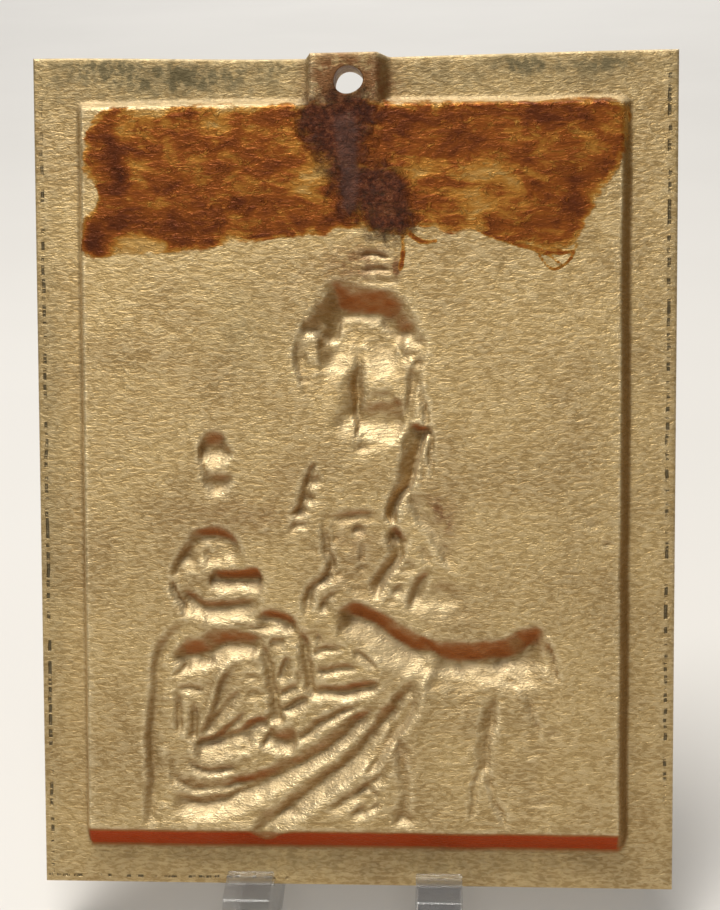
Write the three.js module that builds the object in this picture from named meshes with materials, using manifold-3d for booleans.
// A small cast brass devotional plaque, seen from its back, resting on a clear plastic display easel.
// Millimetres, +Z up. The back of the plaque faces -Y and leans away from the viewer at the top.

import * as THREE from "three";
import { mergeVertices } from "three/addons/utils/BufferGeometryUtils.js";
import Module from "manifold-3d";

const wasm = await Module();
wasm.setup();

// Driving dimensions of the plaque
const plaqueWidth = 70;
const plaqueHeight = 91.6;
const rimThickness = 2.5;
const castWall = 2.4; // metal left between the panel and the sunk field on the front
const edgeBevel = 0.35;
const leanDegrees = 20;

// The raised panel on the back: where its four walls end on the panel, and how wide each wall is
const panelLeft = -29.35;
const panelRight = 28.8;
const panelBottom = 6.9;
const panelTop = 85.8;
const wallLeft = 0.85;
const wallRight = 1.3;
const wallBottom = 2.9;
const wallTop = 1.1;
const panelProudBelow = 2.2; // how far the panel stands proud of the rim at its lower edge
const panelProudAbove = 1.3; // and at its upper edge
const fieldInset = 1.6; // the sunk field on the front is this much smaller all round
const figureProud = 0.2; // the figures on the front may stand this much proud of the frame

// The boss and its hanging hole
const bossLeft = -4.5;
const bossRight = 2.5;
const bossWallLeft = 0.6;
const bossWallRight = 1.7;
const bossProud = 1.4;
const bossBulge = 0.35; // the boss swells the top edge by this much
const holeCentre = [-0.4, 88.6];
const holeDiameter = 3.1;
const holeSides = 24;

// The hand-filed top edge dips a little between the corners
const topDip = 0.45;
const topDipCentre = -6;
const topBandStart = 87.2; // the top edge's unevenness dies away below this height

// The figures are laid out in a frame of their own, which is set on the panel like this
const groupScale = 0.989;
const groupRight = 0.1;
const groupUp = 0.64;

// Driving dimensions of the easel
const prongCentres = [-11.65, 9.3];
const cheekThickness = 5.1;
const prongDepth = 5.9;
const prongOverlap = 2.0; // how far the prongs reach up over the plaque's lower rim
const restGap = 0.3;
const ledgeHeight = 7; // from the floor to the plaque's lowest edge
const footLength = 44; // from the plaque's lowest edge to the back of the foot
const footBarHeight = 5;
const uprightThickness = 4.6;
const uprightReach = 54; // how far the uprights reach up behind the plaque
const cornerRadius = 1.2;
const railSize = 5;
const upperRailAt = 44;
const railOverlap = 0.5; // how far a rail runs into each cheek

const lean = THREE.MathUtils.degToRad(leanDegrees);

const clamp01 = (x) => Math.min(1, Math.max(0, x));
const smooth = (x) => clamp01(x) ** 2 * (3 - 2 * clamp01(x));
const easedRamp = (x) => (clamp01(x) + smooth(x)) / 2; // straight, with softened ends
const mix = (a, b, t) => a + (b - a) * t;
const stepsPerSpan = 6;

// A smooth line through a few places, as a list of points
function roundedLine(places, closed) {
  const knots = places.map(([u, v]) => new THREE.Vector3(u, v, 0));
  const curve = new THREE.CatmullRomCurve3(knots, closed, "catmullrom", 0.5);
  const spans = closed ? places.length : places.length - 1;
  return curve.getPoints(spans * stepsPerSpan).map((point) => [point.x, point.y]);
}

// The nearest point of a line to a place: how far it is, on which side of the line the place lies
// (1 on the left, -1 on the right), and how far along the line it is, from 0 to 1
function nearest(u, v, line) {
  const best = { distance: Infinity, side: 1, along: 0 };
  for (let i = 0; i + 1 < line.length; i += 1) {
    const [startU, startV] = line[i];
    const runU = line[i + 1][0] - startU;
    const runV = line[i + 1][1] - startV;
    const t = clamp01(((u - startU) * runU + (v - startV) * runV) / (runU ** 2 + runV ** 2));
    const awayU = u - startU - t * runU;
    const awayV = v - startV - t * runV;
    const distance = Math.hypot(awayU, awayV);
    if (distance < best.distance) {
      best.distance = distance;
      best.side = Math.sign(runU * awayV - runV * awayU);
      best.along = (i + t) / (line.length - 1);
    }
  }
  return best;
}

function isInside(u, v, loop) {
  let inside = false;
  for (let i = 0; i + 1 < loop.length; i += 1) {
    const [a, b] = [loop[i], loop[i + 1]];
    if (a[1] > v !== b[1] > v && u < mix(a[0], b[0], (v - a[1]) / (b[1] - a[1]))) inside = !inside;
  }
  return inside;
}

// A value at a height, eased between [height, value] stations
function atHeight(v, stations) {
  const last = stations.length - 2;
  const next = stations.findIndex(([height]) => height > v);
  const k = Math.min(last, Math.max(0, (next < 0 ? last + 1 : next) - 1));
  const [low, high] = [stations[k], stations[k + 1]];
  return mix(low[1], high[1], easedRamp((v - low[0]) / (high[0] - low[0])));
}

// A hollow: inside a rounded outline its wall goes down over a width, which may be larger up and down
// than sideways, to a floor of one depth or of a depth for each height
function hollow({ outline, depth, wall, floor }) {
  const loop = roundedLine(outline, true);
  const scaled = loop.map(([u, v]) => [u / wall[0], v / wall[1]]);
  return (u, v) => {
    if (!isInside(u, v, loop)) return 0;
    const bottom = floor ? atHeight(v, floor) : depth;
    return bottom * easedRamp(nearest(u / wall[0], v / wall[1], scaled).distance);
  };
}

// A groove along a rounded path, with a width for its left side and one for its right. Towards both ends
// it grows shallower and narrower. A negative depth makes a ridge
function groove({ path, depth, left, right }) {
  const line = roundedLine(path, false);
  const endShare = 0.3;
  const endWidth = 0.55;
  return (u, v) => {
    const { distance, side, along } = nearest(u, v, line);
    const fade = smooth(along / endShare) * smooth((1 - along) / endShare);
    const width = (side > 0 ? left : right) * mix(endWidth, 1, fade);
    return depth * fade * (1 - smooth(distance / width));
  };
}

// A dish: an oval hollow, deepest in the middle, which may be turned by an angle in degrees
function dish({ centre, radii, depth, turn = 0 }) {
  const c = Math.cos(THREE.MathUtils.degToRad(turn));
  const s = Math.sin(THREE.MathUtils.degToRad(turn));
  return (u, v) => {
    const across = (u - centre[0]) * c + (v - centre[1]) * s;
    const up = (v - centre[1]) * c - (u - centre[0]) * s;
    return depth * Math.exp(-1.4 * ((across / radii[0]) ** 2 + (up / radii[1]) ** 2));
  };
}

// The standing figure: a deep space over its shoulders, and the trunk, whose floor rises towards the hips
const standingSpace = hollow({
  outline: [[-6.5, 60.2], [-5.6, 62.1], [-4.1, 65.3], [-3.1, 66.6], [-1.8, 67.2], [0.2, 66.9], [4.2, 65.7],
    [5.6, 64.9], [7.7, 61.5], [8.1, 59.4], [7.4, 55], [7.7, 52.6], [5.4, 48], [4.1, 41.6], [0, 41.4],
    [-3.5, 42], [-4.4, 46], [-5.8, 55]],
  depth: 2.15,
  wall: [3, 3.9],
});
const trunkLoop = roundedLine([[-6, 60.5], [-5.5, 61.3], [-2.4, 61.4], [-1.5, 63.1], [2.8, 63.2], [4, 61.9],
  [4.8, 61.4], [7.2, 61], [9.5, 54], [9, 48], [5, 38], [-4, 38], [-7, 46], [-7.4, 54]], true);
const trunkFloor = [[38, 0.05], [42, 0.1], [46, 0.22], [50, 0.4], [54, 0.58], [58, 0.8], [60, 1.05],
  [62.4, 1.2], [63.2, 1.5]];
const shoulderEdge = 0.8;

function trunk(u, v) {
  const space = standingSpace(u, v);
  if (!isInside(u, v, trunkLoop)) return space;
  const share = smooth(nearest(u, v, trunkLoop).distance / shoulderEdge);
  return mix(space, Math.min(space, atHeight(v, trunkFloor)), share);
}

const standingFigure = [
  trunk,
  dish({ centre: [-2.1, 59.2], radii: [1.7, 1.8], depth: 0.75 }),
  dish({ centre: [2.9, 59.4], radii: [2.3, 2], depth: 0.8 }),
  dish({ centre: [2.4, 52.2], radii: [2.6, 2.2], depth: 0.55 }),
  dish({ centre: [6.4, 60.6], radii: [1.3, 1.2], depth: 0.35 }),
  groove({ path: [[-4.6, 61.6], [-3.9, 60], [-3.5, 58.2], [-3.6, 56.4]], depth: 0.55, left: 1.2, right: 0.9 }),
  groove({ path: [[-6.1, 61.6], [-6.2, 59.4], [-6, 57.4], [-5.7, 54.6]], depth: 0.5, left: 1, right: 0.7 }),
  groove({ path: [[0.4, 58.7], [0.45, 56.5], [0.4, 53], [0.1, 49.2]], depth: 0.45, left: 0.8, right: 2.6 }),
  groove({ path: [[6.5, 58], [6.2, 55.4], [5.8, 52.6], [5.4, 50.2]], depth: 0.75, left: 1, right: 0.9 }),
];

// The cloth that hangs beside it, and the hip cloth
const hangingCloth = [
  groove({ path: [[7.9, 52.4], [7.4, 49.8], [6.4, 46.1], [5.2, 43], [4.3, 39]], depth: 1.15, left: 1.1,
    right: 2.1 }),
  groove({ path: [[7.2, 43.2], [8.4, 41.3], [9.7, 38.8], [10.9, 36]], depth: 0.5, left: 1.7, right: 0.9 }),
  groove({ path: [[4.7, 41], [4.5, 38.6], [3, 35], [2.4, 32.8]], depth: 0.75, left: 2.6, right: 1.1 }),
  groove({ path: [[8.1, 37.8], [7.9, 35.8], [7.2, 34], [6.6, 31.8]], depth: 0.65, left: 2.8, right: 0.9 }),
  groove({ path: [[-3, 41.4], [-3, 39], [-2.6, 35.6], [-3.9, 34.2], [-5, 33], [-5.2, 29.6]], depth: 0.65,
    left: 1.3, right: 0.9 }),
  groove({ path: [[-3.4, 41.2], [0, 41.4], [3.6, 40.8]], depth: 0.35, left: 0.8, right: 1.8 }),
  groove({ path: [[-1.9, 33.4], [-3.4, 32.2], [-4.2, 30.4]], depth: 0.4, left: 0.9, right: 0.8 }),
  dish({ centre: [4.6, 33.5], radii: [1.2, 1.3], depth: 0.5 }),
  dish({ centre: [11.5, 33.4], radii: [3.4, 2.4], depth: 0.22 }),
];

// Raised hands, and the veiled head of the kneeling figure
const handsAndHead = [
  hollow({ outline: [[-17.1, 49.6], [-16.4, 50.9], [-14.9, 50.8], [-13.7, 48.4], [-14.6, 47.2], [-16.2, 46.9]],
    depth: 0.85, wall: [0.7, 1.9] }),
  hollow({ outline: [[-17, 46.3], [-15.4, 46.2], [-13.9, 46.1], [-13.7, 45.2], [-14.6, 43.9], [-16, 43.7]],
    depth: 0.6, wall: [0.6, 1.2] }),
  hollow({ outline: [[-20.2, 35.6], [-19.6, 38.2], [-17.8, 40], [-15.8, 40.3], [-14, 39.7], [-12, 36.8],
    [-10.3, 35.8], [-10, 33.6], [-10.2, 31.4], [-12.4, 30], [-16, 29.8], [-18.8, 30.8]], wall: [0.9, 1.4],
  floor: [[30, 0.35], [33, 0.5], [36, 0.35], [38.4, 0.75]] }),
  groove({ path: [[-4.2, 47.8], [-5.2, 45.2], [-5.6, 43.6], [-6.3, 40.8]], depth: 0.75, left: 1, right: 0.7 }),
  groove({ path: [[-20.5, 35.3], [-20, 33.6], [-18.9, 30.4]], depth: 0.45, left: 0.8, right: 0.7 }),
  groove({ path: [[-17, 34.2], [-13.4, 34.3], [-9.4, 34.5]], depth: 0.9, left: 1, right: 1 }),
  groove({ path: [[-18.9, 33.4], [-17.6, 31.9], [-15.4, 31.2], [-10.4, 31.9]], depth: 0.6, left: 0.8,
    right: 1.1 }),
  dish({ centre: [-15.6, 37.8], radii: [1.6, 1], depth: 0.35 }),
];

// The kneeling figure's robe: its shallow field, shoulders, sleeve and the long swinging folds
const robe = [
  hollow({ outline: [[-19.4, 30.2], [-21.2, 29], [-22.5, 26.8], [-23.1, 18], [-23.4, 7.2], [-15, 7.2], [-10, 7.6],
    [-5, 11], [0, 14.5], [4.6, 19], [7.2, 22], [8, 24.6], [6, 25.6], [2, 28.4], [-5.6, 28.8], [-7.4, 30.8],
    [-9.6, 31.5], [-14, 30]], wall: [0.9, 0.9], floor: [[7, 0.05], [9, 0.3], [12, 0.45], [28, 0.5]] }),
  groove({ path: [[-19.9, 25.5], [-18, 25.6], [-16.5, 26.8], [-14.6, 27.9], [-12.6, 27.7], [-11.1, 26.9],
    [-9.8, 24.4]], depth: 1, left: 1.35, right: 3.2 }),
  groove({ path: [[-10.5, 27.4], [-9.5, 25], [-9.1, 22], [-8.6, 18.2]], depth: 0.5, left: 0.9, right: 0.9 }),
  groove({ path: [[-11.4, 30.3], [-8.3, 30.2], [-7, 29.3], [-6.1, 27.9]], depth: 0.8, left: 0.8, right: 2.2 }),
  groove({ path: [[-7, 29.8], [-5.7, 27.5], [-5.2, 25], [-4.6, 20.8]], depth: 0.45, left: 0.8, right: 0.8 }),
  groove({ path: [[-7.8, 25.6], [-8.4, 23.9], [-8.4, 22.6]], depth: 0.55, left: 0.8, right: 0.7 }),
  groove({ path: [[-8.5, 19.4], [-6.8, 20], [-5, 20.9]], depth: 0.65, left: 0.8, right: 0.9 }),
  groove({ path: [[-12.3, 22.3], [-13.8, 20.2], [-15.1, 18.5], [-17.1, 17]], depth: 0.65, left: 0.8,
    right: 0.8 }),
  groove({ path: [[-12.6, 26], [-14.2, 24.9], [-15, 22.4], [-16.4, 18.6]], depth: -0.4, left: 0.8,
    right: 0.8 }),
  groove({ path: [[-18.2, 17], [-15.2, 17], [-12.4, 18.2], [-9.8, 19]], depth: 0.55, left: 2.2,
    right: 2.6 }),
  groove({ path: [[-20.2, 23.6], [-20.1, 20], [-19.4, 14.8]], depth: 0.55, left: 0.9, right: 0.8 }),
  groove({ path: [[-9.6, 16.9], [-8.2, 16.4], [-7, 16.7], [-5.4, 18]], depth: 0.65, left: 0.8, right: 0.9 }),
  groove({ path: [[-18.6, 13.8], [-17, 12.75], [-15, 12.4], [-12.2, 13.1]], depth: 0.45, left: 0.7,
    right: 0.7 }),
  groove({ path: [[-20.1, 13.8], [-18.9, 11.4], [-16.8, 10.75], [-14, 10.9], [-8, 13], [-3, 16.9],
    [2.4, 20.9]], depth: 0.6, left: 1, right: 0.8 }),
  groove({ path: [[-20, 10.2], [-17.2, 9.15], [-14, 9.4], [-8.5, 12.1], [-2, 16.7], [1.6, 19.8]], depth: 0.75,
    left: 0.8, right: 1.7 }),
  groove({ path: [[-5.6, 21.7], [-2, 21.8], [2.4, 22.5]], depth: 0.55, left: 0.9, right: 0.8 }),
  groove({ path: [[-5, 24.2], [-1.8, 24.2], [0.8, 24.8]], depth: 0.4, left: 0.8, right: 0.7 }),
];

// The lap and thigh, the falling skirt, and the draped block with its leg lines
const lapAndBlock = [
  hollow({ outline: [[7, 27.9], [10, 27.5], [13.4, 27.7], [16.2, 27.9], [17.6, 28.9], [19.6, 29.4],
    [21.2, 28.6], [22.4, 22.6], [23.2, 12], [21, 7], [14, 6.6], [6, 6.6], [5.2, 14], [7.4, 22.4]],
  wall: [1.2, 2.3],
  floor: [[7, 0.08], [14, 0.2], [20.5, 0.3], [23.4, 0.6], [25.4, 1], [27, 1.25]] }),
  groove({ path: [[-2.2, 32], [-0.4, 31.1], [3.2, 29.4], [6, 27.9], [8.4, 26.4], [10.5, 26.1]], depth: 1.25,
    left: 0.95, right: 3.6 }),
  groove({ path: [[15.1, 21.4], [15, 18.4], [14.5, 13], [15.8, 9.2], [17, 7.1]], depth: 0.7, left: 0.8,
    right: 1.5 }),
  groove({ path: [[4.4, 18], [5.1, 15], [5.7, 10], [4.4, 6.9]], depth: 0.65, left: 0.8, right: 1.2 }),
  groove({ path: [[-11.6, 6.5], [-9, 7.5], [-6.9, 9.2], [-1.8, 12.7], [2.3, 16.5], [5.6, 21.1], [7.4, 22.8]],
    depth: 0.8, left: 1, right: 2.2 }),
  groove({ path: [[-6.4, 7.4], [-3, 9], [0, 11.6], [2.6, 14.6], [4.2, 17.4]], depth: 0.3, left: 1, right: 1 }),
  dish({ centre: [18.4, 26], radii: [3.2, 1.7], depth: 0.35 }),
  dish({ centre: [4.3, 27.2], radii: [3.4, 1.3], depth: 0.55, turn: -25 }),
];

const relief = [...standingFigure, ...hangingCloth, ...handsAndHead, ...robe, ...lapAndBlock];
const deepest = 2.3;

// How deep the figures are sunk below the panel at a place on the plaque
function figureDepth(u, v) {
  const groupU = (u - groupRight) / groupScale;
  const groupV = (v - groupUp) / groupScale;
  const total = relief.reduce((sum, form) => sum + form(groupU, groupV), 0);
  return Math.min(total, deepest);
}

const rise = (distance, run) => clamp01(1 + distance / run);

// 1 on the panel, falling to 0 across its walls; inset makes the whole outline smaller
function panelShare(u, v, inset) {
  return Math.min(
    rise(u - panelLeft - inset, wallLeft),
    rise(panelRight - inset - u, wallRight),
    rise(v - panelBottom - inset, wallBottom),
    rise(panelTop - inset - v, wallTop),
  );
}

function panelProud(v) {
  const up = clamp01((v - panelBottom) / (panelTop - panelBottom));
  return mix(panelProudBelow, panelProudAbove, up);
}

function bossShare(u, v) {
  const across = Math.min(rise(u - bossLeft, bossWallLeft), rise(bossRight - u, bossWallRight));
  return v > panelTop - wallTop ? across : 0;
}

function bevelDrop(u, v) {
  const toEdge = Math.min(plaqueWidth / 2 - Math.abs(u), v, plaqueHeight - v);
  return Math.max(0, edgeBevel - toEdge);
}

// Height of the back face above the rim, and of the front face below it
function backFace(u, v) {
  const panel = panelShare(u, v, 0) * panelProud(v);
  const raised = Math.max(panel, bossShare(u, v) * bossProud);
  return raised - bevelDrop(u, v) - figureDepth(u, v);
}

function frontFace(u, v) {
  const sunk = panelShare(u, v, fieldInset) * (panelProud(v) - castWall + rimThickness);
  const figure = Math.min(figureDepth(u, v), sunk + figureProud * Math.sign(sunk));
  return -rimThickness + sunk + bevelDrop(u, v) - figure;
}

// How far the top edge is moved at a place: it dips towards the middle and swells round the boss
function edgeShift(u, v) {
  const reach = u < topDipCentre ? topDipCentre + plaqueWidth / 2 : plaqueWidth / 2 - topDipCentre;
  const dip = topDip * Math.cos(((u - topDipCentre) / reach) * (Math.PI / 2)) ** 2;
  const bulge = bossBulge * bossShare(u, plaqueHeight);
  return (bulge - dip) * smooth((v - topBandStart) / (plaqueHeight - topBandStart));
}

// Grid lines from a list of [end, count] runs
function gridLines(start, runs) {
  const lines = [start];
  for (const [end, count] of runs) {
    const from = lines[lines.length - 1];
    for (let i = 1; i <= count; i += 1) lines.push(mix(from, end, i / count));
  }
  return lines;
}

const halfWidth = plaqueWidth / 2;
const backColumns = gridLines(-halfWidth, [[-halfWidth + edgeBevel, 1], [panelLeft - wallLeft, 1],
  [panelLeft, 1], [-23.8, 3], [bossLeft - bossWallLeft, 19], [bossLeft, 1], [bossRight, 7],
  [bossRight + bossWallRight, 2], [8.6, 4], [23.2, 10], [panelRight, 2], [panelRight + wallRight, 1],
  [halfWidth - edgeBevel, 1], [halfWidth, 1]]);
const backRows = gridLines(0, [[edgeBevel, 1], [panelBottom - wallBottom, 1], [panelBottom, 1], [33, 25],
  [42, 8], [67.4, 18], [panelTop - wallTop, 3], [panelTop, 1], [panelTop + wallTop, 1],
  [plaqueHeight - edgeBevel, 2], [plaqueHeight, 1]]);
const frontColumns = gridLines(-halfWidth, [[-halfWidth + edgeBevel, 1], [panelLeft - wallLeft + fieldInset, 1],
  [panelLeft + fieldInset, 1], [-23.4, 1], [9, 16], [23.4, 6], [panelRight - fieldInset, 1],
  [panelRight + wallRight - fieldInset, 1], [halfWidth - edgeBevel, 1], [halfWidth, 1]]);
const frontRows = gridLines(0, [[edgeBevel, 1], [panelBottom - wallBottom + fieldInset, 1],
  [panelBottom + fieldInset, 1], [33, 13], [68, 14], [panelTop - fieldInset, 2],
  [panelTop + wallTop - fieldInset, 1], [plaqueHeight - edgeBevel, 1], [plaqueHeight, 1]]);

// One face of the plaque: a grid of points at a height, two triangles to each cell. The cell is cut along
// the diagonal that lies closer to the true surface
function addFace(points, triangles, columns, rows, height, facesBack) {
  const first = points.length;
  for (const v of rows) {
    for (const u of columns) points.push([u, -height(u, v), v + edgeShift(u, v)]);
  }
  const at = (i, j) => first + i + j * columns.length;
  for (let j = 0; j + 1 < rows.length; j += 1) {
    for (let i = 0; i + 1 < columns.length; i += 1) {
      const [a, b, c, d] = [at(i, j), at(i + 1, j), at(i + 1, j + 1), at(i, j + 1)];
      const middle = -height((columns[i] + columns[i + 1]) / 2, (rows[j] + rows[j + 1]) / 2);
      const missAC = Math.abs((points[a][1] + points[c][1]) / 2 - middle);
      const missBD = Math.abs((points[b][1] + points[d][1]) / 2 - middle);
      const cell = missAC <= missBD ? [[a, b, c], [a, c, d]] : [[a, b, d], [b, c, d]];
      for (const [p, q, r] of cell) triangles.push(facesBack ? [p, q, r] : [p, r, q]);
    }
  }
  const lastColumn = columns.length - 1;
  const lastRow = rows.length - 1;
  return [
    columns.map((_, i) => at(i, 0)),
    rows.map((_, j) => at(lastColumn, j)),
    columns.map((_, i) => at(i, lastRow)).reverse(),
    rows.map((_, j) => at(0, j)).reverse(),
  ];
}

// Joins the matching sides of the two faces by a strip of triangles
function stitch(points, triangles, backSide, frontSide) {
  const reach = (side, k) => Math.hypot(
    points[side[k]][0] - points[side[0]][0],
    points[side[k]][2] - points[side[0]][2],
  );
  let i = 0;
  let j = 0;
  while (i + 1 < backSide.length || j + 1 < frontSide.length) {
    const backNext = i + 1 < backSide.length ? reach(backSide, i + 1) : Infinity;
    const frontNext = j + 1 < frontSide.length ? reach(frontSide, j + 1) : Infinity;
    if (backNext <= frontNext) {
      triangles.push([backSide[i + 1], backSide[i], frontSide[j]]);
      i += 1;
    } else {
      triangles.push([frontSide[j], frontSide[j + 1], backSide[i]]);
      j += 1;
    }
  }
}

function toManifold(geometry) {
  const bare = geometry.clone();
  bare.deleteAttribute("normal");
  bare.deleteAttribute("uv");
  const merged = mergeVertices(bare, 1e-4);
  const vertProperties = new Float32Array(merged.attributes.position.array);
  const triVerts = new Uint32Array(merged.index.array);
  return new wasm.Manifold(new wasm.Mesh({ numProp: 3, vertProperties, triVerts }));
}

function toGeometry(solid) {
  const mesh = solid.getMesh();
  const geometry = new THREE.BufferGeometry();
  geometry.setAttribute("position", new THREE.BufferAttribute(new Float32Array(mesh.vertProperties), 3));
  geometry.setIndex(new THREE.BufferAttribute(new Uint32Array(mesh.triVerts), 1));
  geometry.computeVertexNormals();
  return geometry;
}

function makePlaque() {
  const points = [];
  const triangles = [];
  const backSides = addFace(points, triangles, backColumns, backRows, backFace, true);
  const frontSides = addFace(points, triangles, frontColumns, frontRows, frontFace, false);
  backSides.forEach((side, k) => stitch(points, triangles, side, frontSides[k]));
  const casting = new THREE.BufferGeometry();
  casting.setAttribute("position", new THREE.Float32BufferAttribute(points.flat(), 3));
  casting.setIndex(triangles.flat());

  const drill = new THREE.CylinderGeometry(holeDiameter / 2, holeDiameter / 2, 4 * rimThickness, holeSides);
  drill.translate(holeCentre[0], 0, holeCentre[1]);
  const drilled = toManifold(casting).subtract(toManifold(drill));

  const material = new THREE.MeshStandardMaterial({ color: 0xb39a60, roughness: 0.45, metalness: 0.9 });
  const mesh = new THREE.Mesh(toGeometry(drilled), material);
  mesh.name = "plaque";
  return mesh;
}

// A place given along the leaning plaque: up it from its lower edge, and out from its back
function leaned(up, out) {
  return new THREE.Vector2(
    up * Math.sin(lean) - out * Math.cos(lean),
    up * Math.cos(lean) + out * Math.sin(lean),
  );
}

// A closed shape with its corners rounded by arcs of one radius, or less where a side is short
function roundedShape(corners, radius) {
  const shape = new THREE.Shape();
  corners.forEach((corner, k) => {
    const before = corners[(k + corners.length - 1) % corners.length];
    const after = corners[(k + 1) % corners.length];
    const cut = Math.min(radius, corner.distanceTo(before) / 2.5, corner.distanceTo(after) / 2.5);
    const start = corner.clone().add(before.clone().sub(corner).setLength(cut));
    const end = corner.clone().add(after.clone().sub(corner).setLength(cut));
    if (k === 0) shape.moveTo(start.x, start.y);
    else shape.lineTo(start.x, start.y);
    shape.quadraticCurveTo(corner.x, corner.y, end.x, end.y);
  });
  shape.closePath();
  return shape;
}

// Side view of one cheek, in the Y-Z plane, measured from the plaque's lower back edge
function cheekOutline(floor) {
  const ledge = -restGap;
  const behind = -rimThickness - restGap;
  const prongInner = leaned(prongOverlap, restGap);
  const prongFoot = leaned(ledge, restGap);
  const crook = leaned(ledge, behind);
  const uprightTop = leaned(uprightReach, behind);
  const uprightTopBack = leaned(uprightReach, behind - uprightThickness);
  const uprightFoot = leaned(footBarHeight, behind - uprightThickness);
  const frontFace = prongInner.x - prongDepth;
  const footEnd = crook.x + footLength;
  return [
    new THREE.Vector2(frontFace, floor),
    new THREE.Vector2(footEnd, floor),
    new THREE.Vector2(footEnd, floor + footBarHeight),
    new THREE.Vector2(uprightFoot.x, floor + footBarHeight),
    uprightTopBack,
    uprightTop,
    crook,
    prongFoot,
    prongInner,
    new THREE.Vector2(frontFace, prongInner.y),
  ];
}

function makeEasel() {
  const floor = leaned(0, -rimThickness).y - ledgeHeight;
  const toSideView = new THREE.Matrix4().makeBasis(
    new THREE.Vector3(0, 1, 0),
    new THREE.Vector3(0, 0, 1),
    new THREE.Vector3(1, 0, 0),
  );
  const outline = roundedShape(cheekOutline(floor), cornerRadius);
  const cheeks = prongCentres.map((centre) => {
    const cheek = new THREE.ExtrudeGeometry(outline, {
      depth: cheekThickness, bevelEnabled: false, curveSegments: 3,
    });
    cheek.applyMatrix4(toSideView);
    cheek.translate(centre - cheekThickness / 2, 0, 0);
    return toManifold(cheek);
  });

  const span = prongCentres[1] - prongCentres[0] - cheekThickness + 2 * railOverlap;
  const middle = (prongCentres[0] + prongCentres[1]) / 2;
  const behind = -rimThickness - restGap;
  const lowerRail = new THREE.BoxGeometry(span, railSize, footBarHeight - 1);
  const footEnd = leaned(-restGap, behind).x + footLength;
  lowerRail.translate(middle, footEnd - railSize, floor + footBarHeight / 2);
  const upperRail = new THREE.BoxGeometry(span, uprightThickness - 1, railSize);
  const railPlace = leaned(upperRailAt, behind - uprightThickness / 2);
  upperRail.rotateX(-lean);
  upperRail.translate(middle, railPlace.x, railPlace.y);

  const easel = cheeks[0].add(cheeks[1]).add(toManifold(lowerRail)).add(toManifold(upperRail));
  const material = new THREE.MeshStandardMaterial({
    color: 0xe8eef0, roughness: 0.05, metalness: 0, transparent: true, opacity: 0.35,
  });
  const mesh = new THREE.Mesh(toGeometry(easel), material);
  mesh.name = "display_easel";
  return mesh;
}

const plaque = makePlaque();
const leaningPlaque = new THREE.Group();
leaningPlaque.rotation.x = -lean;
leaningPlaque.add(plaque);

const model = new THREE.Group();
model.add(leaningPlaque, makeEasel());

// The origin is the middle of the whole part, on the surface that the easel stands on
const extent = new THREE.Box3().setFromObject(model, true);
const centre = extent.getCenter(new THREE.Vector3());
model.position.set(-centre.x, -centre.y, -extent.min.z);

export default model;
